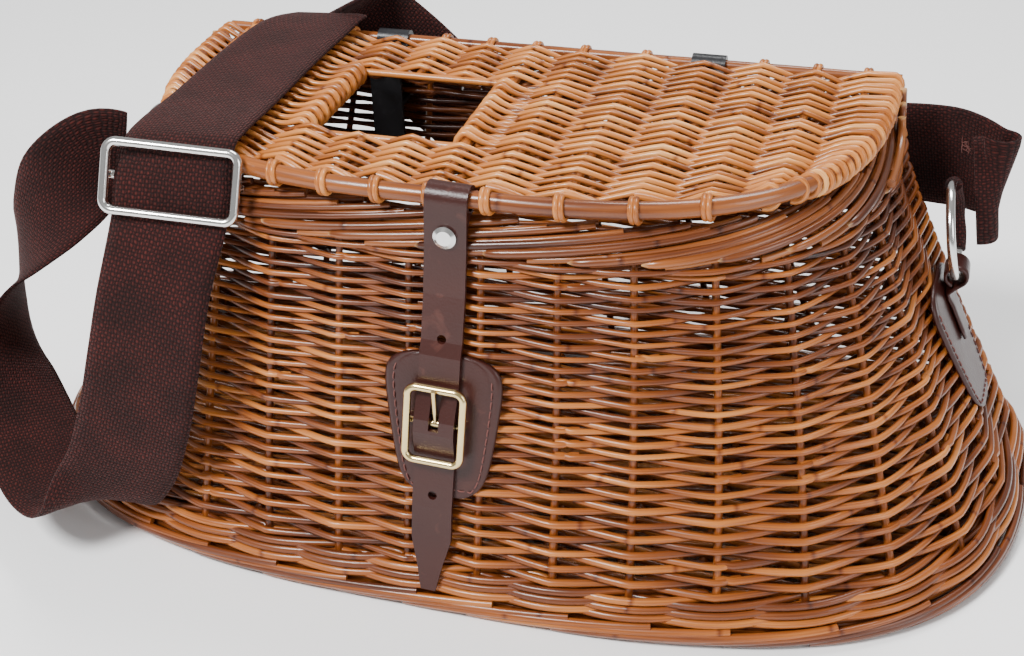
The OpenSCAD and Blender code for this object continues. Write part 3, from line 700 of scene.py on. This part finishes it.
# ---------------------------------------------------------------- lid
# Rows run left to right over sticks that run front to back. At the ends and beside the hatch
# each row turns over the edge rod, so those edges look like close coils.
LID_HALF, LID_BACK, LID_DEPTH, LID_N = 168.0, 82.0, 165.0, 3.05
LID_Z, FRAME_Z, BACK_ROD_Z = 190.4, 191.0, 190.5
FRAME_R = 3.8
# The hatch's left, right, front and back edges, and how far outside it its side rods lie.
HATCH = (-79.0, -9.0, -31.0, 36.0)
SIDE_ROD = 3.0
# The hinge straps lie at this distance left and right of the middle, and keep this much clear.
HINGE_X, HINGE_CLEAR = 79, 12
STICKS = [-153, -128, -101, -75, -51.5, -28, -5, 19, 49, 78, 105, 130, 153]


def lid_front(x, inset):
    u = min(1, abs(x) / (LID_HALF - inset))
    return LID_BACK - (LID_DEPTH - inset) * (1 - u ** LID_N) ** (1 / LID_N)


def lid_half(y, inset):
    u = min(1, max(0, (LID_BACK - y) / (LID_DEPTH - inset)))
    return (LID_HALF - inset) * (1 - u ** LID_N) ** (1 / LID_N)


def stick_phase(x):
    """Rises by one from each stick to the next, so a row can go over one and under the next."""
    return np.interp(x, STICKS, np.arange(len(STICKS)))


def lid_row_y(x, v):
    y = LID_BACK - 5.5 - v * (LID_DEPTH - 17)
    bend = np.array([lid_front(q, 8) for q in np.atleast_1d(x)]) - (LID_BACK - LID_DEPTH + 8)
    return y + v ** 5 * 0.8 * bend


def lid_row(x0, x1, v, row, turn0, turn1):
    """One row from x0 to x1; turn is 1 where it goes over that edge's rod, -1 under it, 0 for neither."""
    t = np.arange(0, 8 * (len(STICKS) - 1) + 1) / 8
    x = np.interp(t, np.arange(len(STICKS)), STICKS)
    keep = (x > x0 + 3) & (x < x1 - 3)
    x = np.concatenate([[x0], x[keep], [x1]])
    t = stick_phase(x) * math.pi + math.pi * (row % 2)
    tri = np.arcsin(np.sin(t + math.pi / 2) * 0.9995) * 2 / math.pi
    lift = rng.uniform(3.7, 4.5)
    z = LID_Z + (0.86 * tri + 0.14 * np.cos(t)) * lift
    y = lid_row_y(x, v) + rng.uniform(-0.5, 0.5) + 0.5 * np.sin(x / rng.uniform(25, 45) + rng.uniform(0, 6))
    for turn, end in ((turn0, x - x0), (turn1, x1 - x)):
        if turn:
            near = (end / 13).clip(0, 1)
            z = z * near + (LID_Z + 4.3 * turn) * (1 - near)
    pts = np.column_stack([x, y, z])
    # Painted shade: a row is darker where it dips under a stick, and a little darker where it wraps the edge
    # rod.
    shade = 0.42 * (z - LID_Z - 4) / 8
    def wrap(centre_x, y, side):
        a = np.linspace(70, -110, 9) * math.pi / 180
        across = centre_x + side * 4.5 * np.cos(a)
        return np.column_stack([across, y + np.linspace(0, -2.6, 9), LID_Z + 4.5 * np.sin(a)])
    if turn0 > 0:
        pts = np.vstack([wrap(x0, pts[0, 1], -1)[::-1], pts])
        shade = np.concatenate([np.full(9, -0.02), shade])
    if turn1 > 0:
        pts = np.vstack([pts, wrap(x1, pts[-1, 1], 1)])
        shade = np.concatenate([shade, np.full(9, -0.02)])
    return pts, shade


lid_lines = []
rows = 45


def add_lid_row(x0, x1, v, row, turn0, turn1):
    points, shade = lid_row(x0, x1, v, row, turn0, turn1)
    radius = np.full(len(points), rng.uniform(1.12, 1.4))
    for turn, end in ((turn0, points[:, 0] - x0), (turn1, x1 - points[:, 0])):
        if turn > 0:
            radius = radius + 0.35 * (1 - end / 8).clip(0, 1)
    # The row's random tone plus the painted shade from lid_row.
    lid_lines.append((points, radius, rng.uniform(0.46, 0.92) + shade, None))


for i in range(rows):
    v = i / (rows - 1)
    y_mid = float(lid_row_y(0.0, v)[0])
    reach = lid_half(y_mid, FRAME_R)
    for _ in range(4):
        reach = lid_half(float(lid_row_y(reach, v)[0]), FRAME_R)
    reach = max(reach - 0.5, 30)
    turned = float(lid_row_y(reach, v)[0]) > -66
    over = 1 if i % 2 else -1
    left, right_end = (over, -over) if turned else (0, 0)
    if HATCH[2] - 2.5 < y_mid < HATCH[3] + 2.5:
        add_lid_row(-reach, HATCH[0] - SIDE_ROD, v, i, left, -over)
        add_lid_row(HATCH[1] + SIDE_ROD, reach, v, i, over, right_end)
    else:
        add_lid_row(-reach, reach, v, i, left, right_end)
lid_weave = rods("lid_weave", lid_lines, lid_willow, sides=8, uneven=0.3, seed=41)
place(lid_weave, "lid", "willow_lid", "lid_weave")

# Sticks. Two turns wrap most ends to the front or the back rod, and a slanting tie runs from one
# front wrapping to the next.
def lashing(x, y, side, r_rod, z_rod, wide):
    a = np.linspace(150, -170, 18) * math.pi / 180
    reach = r_rod + 0.75
    across = x + wide + np.linspace(-0.8, 1.6, 18)
    return np.column_stack([across, y - side * reach * np.cos(a), z_rod + reach * np.sin(a)])


stick_lines = []
for x in STICKS:
    front = lid_front(x, FRAME_R)
    rear = 75.0 if abs(abs(x) - HINGE_X) < HINGE_CLEAR else 80.0
    runs = [(front + 5.5, rear)]
    if HATCH[0] - 6 < x < HATCH[1] + 6:
        runs = [(front + 5.5, HATCH[2] - 1.5), (HATCH[3] + 1.5, rear)]
    for y0, y1 in runs:
        ys = np.linspace(y0, y1, 8)
        stick_lines.append((np.column_stack([np.full(8, x), ys, np.full(8, LID_Z)]), 1.9, 0.45, None))
    if abs(x) < 120:
        for wide in (-1.1, 0.9):
            turn = lashing(x, front, 1, FRAME_R, FRAME_Z, wide)
            stick_lines.append((turn, 1.25, float(rng.uniform(0.45, 0.7)), None))
    if abs(abs(x) - HINGE_X) > HINGE_CLEAR:
        for wide in (-0.9, 0.9):
            turn = lashing(x, LID_BACK, -1, 2.75, BACK_ROD_Z, wide)
            stick_lines.append((turn, 1.15, float(rng.uniform(0.4, 0.65)), None))
for x0, x1 in zip(STICKS[2:-3], STICKS[3:-2]):
    u = np.linspace(0, 1, 9)
    xs = x0 - 2 + (x1 - x0 + 1) * u
    ys = np.array([lid_front(q, FRAME_R) for q in xs]) + 7.5 - 2.6 * u
    zs = LID_Z + 3.4 * np.cos(u * math.pi * 0.95) - 0.4
    tie = np.column_stack([xs, ys, zs])
    stick_lines.append((tie, np.linspace(1.9, 1.6, 9), float(rng.uniform(0.5, 0.8)), None))
sticks = rods("lid_sticks", stick_lines, lid_willow, sides=8, uneven=0.25, seed=42)
place(sticks, "lid", "willow_rods", "lid_sticks", "lid_end_sticks")

# Edge rods of the lid: the thick bent rod round the ends and front, the straight back rod.
t = np.linspace(math.pi, 2 * math.pi, 90)
c, s = np.cos(t), np.sin(t)
bent = np.column_stack([(LID_HALF - FRAME_R) * np.sign(c) * np.abs(c) ** (2 / LID_N),
                        LID_BACK - (LID_DEPTH - FRAME_R) * np.abs(s) ** (2 / LID_N), np.full(90, FRAME_Z)])
bent = bent[bent[:, 1] < 78]
frame_rod = rods("lid_frame_rod", [(bent, FRAME_R, 0.4, None)], rod_willow, sides=14, uneven=0.5, seed=43)
place(frame_rod, "lid", "willow_rods", "lid_frame_rod")
bx = np.linspace(-LID_HALF, LID_HALF, 60)
straight = np.column_stack([bx, np.full(60, LID_BACK), np.full(60, BACK_ROD_Z)])
back_rod = rods("lid_back_rod", [(straight, 2.7, 0.45, None)], rod_willow, sides=12, uneven=0.3, seed=44)
place(back_rod, "lid", "willow_rods", "lid_back_rod")

# Hatch edges: a rod under the coils at each side and a pair of rods front and back.
for name, x in (("hatch_rod_left", HATCH[0] - SIDE_ROD), ("hatch_rod_right", HATCH[1] + SIDE_ROD)):
    side_run = np.array([(x, y, LID_Z) for y in np.linspace(HATCH[2] - 8, HATCH[3] + 8, 12)])
    rod = rods(name, [(side_run, 2.4, 0.5, None)], lid_willow, sides=10, seed=45)
    place(rod, "lid", "willow_rods", name)
edge_lines = []
for y in (HATCH[2] - 1.6, HATCH[3] + 1.6):
    edge_run = np.array([(x, y, LID_Z + 0.3) for x in np.linspace(HATCH[0], HATCH[1], 12)])
    edge_lines.append((edge_run, 1.7, 0.6, None))
edge = rods("hatch_edge_rods", edge_lines, lid_willow, sides=10, seed=46)
place(edge, "lid", "willow_rods", "hatch_edge_rods")


# ---------------------------------------------------------------- shared shapes for leather and webbing
def spline(points, per):
    p = np.asarray(points, float)
    n, out = len(p), []
    for i in range(n - 1):
        a, b, c, d = p[max(0, i - 1)], p[i], p[min(n - 1, i + 1)], p[min(n - 1, i + 2)]
        for k in range(per):
            t = k / per
            bend, twist = 2 * a - 5 * b + 4 * c - d, 3 * b - a - 3 * c + d
            out.append(0.5 * (2 * b + (c - a) * t + bend * t ** 2 + twist * t ** 3))
    out.append(p[-1])
    return np.array(out)


def fix_normals(mesh):
    bm = bmesh.new()
    bm.from_mesh(mesh)
    bmesh.ops.recalc_face_normals(bm, faces=bm.faces)
    bm.to_mesh(mesh)
    bm.free()


def solid(name, verts, faces, material, uv=None):
    """A smooth closed piece; uv, where given, is a pair in metres for each vertex."""
    mesh = bpy.data.meshes.new(name)
    mesh.from_pydata(verts, [], faces)
    if uv:
        layer = mesh.uv_layers.new(name="weave")
        layer.data.foreach_set("uv", [c for loop in mesh.loops for c in uv[loop.vertex_index]])
    mesh.materials.append(material)
    mesh.polygons.foreach_set("use_smooth", [True] * len(mesh.polygons))
    mesh.update()
    fix_normals(mesh)
    obj = bpy.data.objects.new(name, mesh)
    bpy.context.scene.collection.objects.link(obj)
    return obj


def swept_faces(n, m):
    """Faces between n sections of m points each, with a cap at both ends."""
    faces = []
    for i in range(n - 1):
        for j in range(m):
            k = (j + 1) % m
            faces.append((i * m + j, i * m + k, (i + 1) * m + k, (i + 1) * m + j))
    return faces + [tuple(reversed(range(m))), tuple(range((n - 1) * m, n * m))]


def section_sheet(name, frames, profile, material, uv):
    """A closed solid swept through frames of (centre, side, up, half width).

    The profile is (u, v) pairs, with u from -1 to 1 across the half width and v in mm."""
    verts = []
    for centre, side, up, half in frames:
        for u, v in profile:
            verts.append(tuple((np.asarray(centre) + np.asarray(side) * u * half + np.asarray(up) * v) * MM))
    return solid(name, verts, swept_faces(len(frames), len(profile)), material, uv)


def unit(v):
    v = np.asarray(v, float)
    return v / np.linalg.norm(v)


def band(name, route, width, thick, material, per=8):
    """A band of webbing along (centre, width direction) points, with rounded selvages."""
    c = spline([r[0] for r in route], per)
    w = spline([r[1] for r in route], per)
    n = len(c)
    us = np.linspace(-1, 1, 12)
    upper = [(u, thick / 2 * (1 - 0.55 * abs(u) ** 12)) for u in us]
    profile = upper + [(u, -v) for u, v in upper[::-1]]
    frames, uv, run = [], [], 0
    for i in range(n):
        if i:
            run += np.linalg.norm(c[i] - c[i - 1]) * MM
        t = unit(c[min(n - 1, i + 1)] - c[max(0, i - 1)])
        side = unit(w[i] - t * np.dot(w[i], t))
        up = np.cross(t, side)
        half = width / 2 * np.linalg.norm(w[i])
        frames.append((c[i], side, up, half))
        for u, v in profile:
            uv.append((u * width / 2 * MM, run + (0.0004 if v < 0 else 0)))
    return section_sheet(name, frames, profile, material, uv)


# ---------------------------------------------------------------- shoulder webbing
# One length of webbing, made as three runs: a hanging loop at the left, the run over the lid, and
# the run behind the basket to the right ring.
STRAP_W, STRAP_T = 50, 2.4
loop_route = [
    ((-206, 22, 140), (0.05, 0.25, 0.86)), ((-217, 14, 142), (0.02, 0.25, 0.95)),
    ((-228, 2, 133), (0, 0.4, 0.92)), ((-240, -12, 112), (-0.1, 0.65, 0.75)),
    ((-249, -28, 86), (-0.15, 0.9, 0.4)), ((-246, -50, 60), (-0.05, 0.98, 0.15)),
    ((-226, -74, 37), (0.4, 0.9, 0)), ((-199, -98.5, 26), (0.76, 0.56, 0)),
    ((-170, -113, 31), (0.92, 0.36, 0.1)), ((-150, -115.5, 52), (0.95, 0.28, 0.1)),
    ((-137, -116, 82), (0.97, 0.2, 0)), ((-129, -113, 112), (0.98, 0.15, 0)),
    ((-123.5, -105, 142), (0.99, 0.1, 0)), ((-119.8, -90, 168.5), (1, 0.12, -0.05)),
    ((-119.3, -87.3, 173.6), (1, 0.15, -0.078))]
lid_route = [
    ((-119.3, -88.3, 171.2), (1, 0.15, -0.078)), ((-119, -81.8, 185.5), (1, 0.15, -0.078)),
    ((-118.8, -72.6, 198.4), (1, 0.06, 0)), ((-119.5, -58, 200.4), (1, 0, 0)),
    ((-122, -20, 198), (1, 0, 0)), ((-123, 30, 198), (1, 0, 0)),
    ((-121, 66, 198.6), (0.99, 0.1, 0.02)), ((-116, 86, 198.6), (0.94, 0.3, 0.12))]
back_route = [
    ((-115.6, 86.8, 198.4), (0.94, 0.3, 0.12)), ((-105, 101, 191), (0.8, 0.42, 0.4)),
    ((-88, 109, 174), (0.66, 0.42, 0.6)), ((-68, 118, 150), (0.6, 0.3, 0.72)),
    ((-40, 126, 122), (0.4, 0.1, 0.9)), ((5, 133, 104), (0.1, 0, 1)),
    ((60, 134, 104), (-0.12, 0, 1)), ((115, 131, 118), (-0.2, 0.02, 0.97)),
    ((160, 120, 136), (-0.2, 0.06, 0.98)), ((191, 104, 145), (-0.1, 0.1, 0.98)),
    ((207, 93, 147), (0.02, -0.05, 0.98)), ((218, 83, 146.5), (0.14, -0.24, 0.92)),
    ((217.5, 75, 146), (0.14, -0.05, 0.96)), ((212.5, 71, 145), (-0.06, 0.25, 0.97)),
    ((206.5, 69.8, 144.4), (-0.12, 0.46, 0.87))]

strap_loop = band("strap_loop", loop_route, STRAP_W, STRAP_T, webbing)
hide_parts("strap_loop")
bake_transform(strap_loop)
strap_over = band("strap_over_lid", lid_route, STRAP_W, STRAP_T, webbing)
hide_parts("strap_over_lid")
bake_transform(strap_over)
strap_behind = band("strap_behind", back_route, STRAP_W, STRAP_T, webbing)
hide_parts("strap_behind")
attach(strap_behind, "basket")

# A few loose threads stand out of the upper edge where the webbing is sewn at the right ring.
loose = []
for i in range(9):
    u = np.linspace(0, 1, 8)[:, None]
    root = np.array([200.5, 77, 161.5]) + rng.uniform(-1, 1, 3) * (2.2, 2.5, 1.5)
    lean = rng.uniform(-1, 1, 3) * (3.0, 1.5, 1.5) + np.array([-2.5, -1.5, 4.0])
    curl = rng.uniform(-1.6, 1.6, 3)
    loose.append((root + lean * u + curl * np.sin(u * math.pi), 0.17, 0.5, None))
place(rods("loose_threads", loose, thread_mat, sides=5, uneven=0.05, seed=51), "basket", "thread")

# ---------------------------------------------------------------- leather patches
# Shield-shaped pieces that follow the wall, with a rounded edge, a pressed line for the thread
# and single stitches lying in it.
PATCH_W, PATCH_H, LEATHER = 54.0, 66.0, 2.0
PATCH_X, PATCH_Z = 1, 58
TAB_Y, TAB_Z = 37, 54
# How far a patch's back stands off the wall, and where across it the pressed line runs.
STAND_OFF, THREAD_LINE = 0.6, 0.84


def shield_half(v):
    return (PATCH_W / 2 - 9 * (1 - v) ** 1.6) * (1 - abs(2 * v - 1) ** 7) ** 0.4


def wall_front(x, z):
    a, rear, front, corner = outline(z)
    yc = rear - corner
    return yc - (yc - front) * (1 - (abs(x) / a) ** 3) ** (1 / 3)


def wall_side(y, z):
    a, rear, front, corner = outline(z)
    yc = rear - corner
    return a * (1 - max(0, (yc - y) / (yc - front)) ** 3) ** (1 / 3)


def front_point(u, v, off):
    x, z = PATCH_X + u * shield_half(v), PATCH_Z + PATCH_H * v
    return x, wall_front(x, z) - off, z


def side_point(s, u, v, off):
    y, z = TAB_Y - s * u * 0.9 * shield_half(v), TAB_Z + PATCH_H * v * 0.94
    return s * (wall_side(y, z) + off), y, z


def rounded(u, v):
    """How far the leather's face sinks near its edge and in the pressed line, in mm."""
    edge = min(1 - abs(u), 3.0 * (0.5 - abs(v - 0.5)))
    drop = 1.0 * max(0, 1 - edge / 0.07) ** 2
    return drop + 0.32 * math.exp(-((abs(u) - THREAD_LINE) / 0.03) ** 2)


def patch(name, point):
    us, vs = np.linspace(-1, 1, 41), 0.5 - 0.495 * np.cos(np.linspace(0, math.pi, 49))
    verts, faces = [], []
    for side in (0, 1):
        for v in vs:
            for u in us:
                off = STAND_OFF if side else STAND_OFF + LEATHER - rounded(u, v)
                verts.append(tuple(c * MM for c in point(u, v, off)))
    n, m = len(us), len(vs)
    for side in (0, 1):
        b = side * n * m
        for i in range(m - 1):
            for j in range(n - 1):
                q = (b + i * n + j, b + i * n + j + 1, b + (i + 1) * n + j + 1, b + (i + 1) * n + j)
                faces.append(q if side == 0 else q[::-1])
    rim = list(range(n)) + [i * n + n - 1 for i in range(1, m)]
    rim += [(m - 1) * n + j for j in range(n - 2, -1, -1)] + [i * n for i in range(m - 2, 0, -1)]
    for k, a in enumerate(rim):
        b = rim[(k + 1) % len(rim)]
        faces.append((a, b, b + n * m, a + n * m))
    return solid(name, verts, faces, brown_leather)


def stitches(name, point):
    """Short thread stitches round the patch, each dipping into the leather at both ends."""
    down = [(-THREAD_LINE, v) for v in np.linspace(0.90, 0.07, 60)]
    bottom = [(u, 0.07) for u in np.linspace(-0.80, 0.80, 14)]
    rise = [(THREAD_LINE, v) for v in np.linspace(0.07, 0.90, 60)]
    route = down + bottom + rise
    pts = np.array([point(u, v, STAND_OFF + LEATHER + 0.05) for u, v in route])
    step = np.linalg.norm(np.diff(pts, axis=0), axis=1)
    s = np.concatenate([[0], np.cumsum(step)])
    lines, pitch = [], 4.3
    for k in range(int(s[-1] / pitch)):
        q = np.linspace(k * pitch + 0.5, (k + 1) * pitch - 0.45, 7)
        u_v = np.column_stack([np.interp(q, s, [r[i] for r in route]) for i in range(2)])
        sink = np.array([-0.45, 0.05, 0.22, 0.28, 0.22, 0.05, -0.45])
        body = np.array([point(a, b, STAND_OFF + LEATHER + d) for (a, b), d in zip(u_v, sink)])
        lines.append((body, 0.36, 0.5, None))
    return rods(name, lines, thread_mat, sides=6, uneven=0.02)


RING_FOOT, RING_LEAN, RING_R = np.array([203.0, 42.0, 117.0]), math.radians(-10), 21.0
LOOP_R = 4.7

place(patch("front_patch", front_point), "basket", "brown_leather", "front_patch")
place(stitches("front_patch_stitching", front_point), "basket", "thread", "front_patch_stitching")
for side, s in (("left", -1), ("right", 1)):
    def tab_point(u, v, off, s=s):
        return side_point(s, u, v, off)

    tab, sewing = "tab_" + side, "tab_%s_stitching" % side
    place(patch(tab, tab_point), "basket", "brown_leather", tab)
    place(stitches(sewing, tab_point), "basket", "thread", sewing)
    # The tab's top narrows, folds over the ring and comes back down behind itself.
    a = np.linspace(-50, 250, 19) * math.pi / 180
    foot_x, foot_y, foot_z = RING_FOOT
    turn = [(s * (foot_x + LOOP_R * math.cos(q)), foot_y, foot_z + LOOP_R * math.sin(q)) for q in a]
    front_end = [(s * (wall_side(foot_y, z) + 3.9), foot_y, z) for z in (86, 94, 102, 108)]
    route = [(p, (0, 1, 0)) for p in front_end + turn]
    fold = "tab_%s_loop" % side
    place(band(fold, route, 15, 2.0, brown_leather, per=2), "basket", "brown_leather", fold)

# ---------------------------------------------------------------- sewn ends of the webbing
# The webbing is gathered round one side of each ring and sewn back on itself.
SLEEVE_R = 3.73
for side, s, turn in (("left", -1, 180), ("right", 1, 0)):
    profile = [(math.cos(q), math.sin(q)) for q in np.linspace(0, 2 * math.pi, 25)[:-1]]
    verts, uv = [], []
    arc = np.radians(np.linspace(-52, 52, 33) + turn)
    for q in arc:
        for c, d in profile:
            bulge = SLEEVE_R + 0.18 * math.sin(9 * q + 3 * c)
            r = RING_R + bulge * c
            y, z, x = r * math.cos(q), r * math.sin(q) + RING_R, bulge * d
            verts.append(tuple(MM * v for v in (
                s * (RING_FOOT[0] + x * math.cos(RING_LEAN) + z * math.sin(RING_LEAN)),
                RING_FOOT[1] + y, RING_FOOT[2] - x * math.sin(RING_LEAN) + z * math.cos(RING_LEAN))))
            uv.append((math.atan2(d, c) * 0.0037, q * 0.021))
    end = solid("strap_end_" + side, verts, swept_faces(len(arc), len(profile)), webbing, uv)
    place(end, "ring_" + side, "webbing", "strap_end_" + side)

# ---------------------------------------------------------------- materials on the designed parts
# Leather hinges and closure strap, brass buckle, nickel ring, slider and rivet.
for name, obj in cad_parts.items():
    if name.startswith("hinge"):
        paint = black_leather
    elif name in ("closure_strap", "buckle_chape"):
        paint = brown_leather
    elif name.startswith("buckle"):
        paint = brass
    elif name.startswith(("ring", "slider")) or name == "closure_rivet":
        paint = nickel
    else:
        continue
    obj.data.materials.clear()
    obj.data.materials.append(paint)
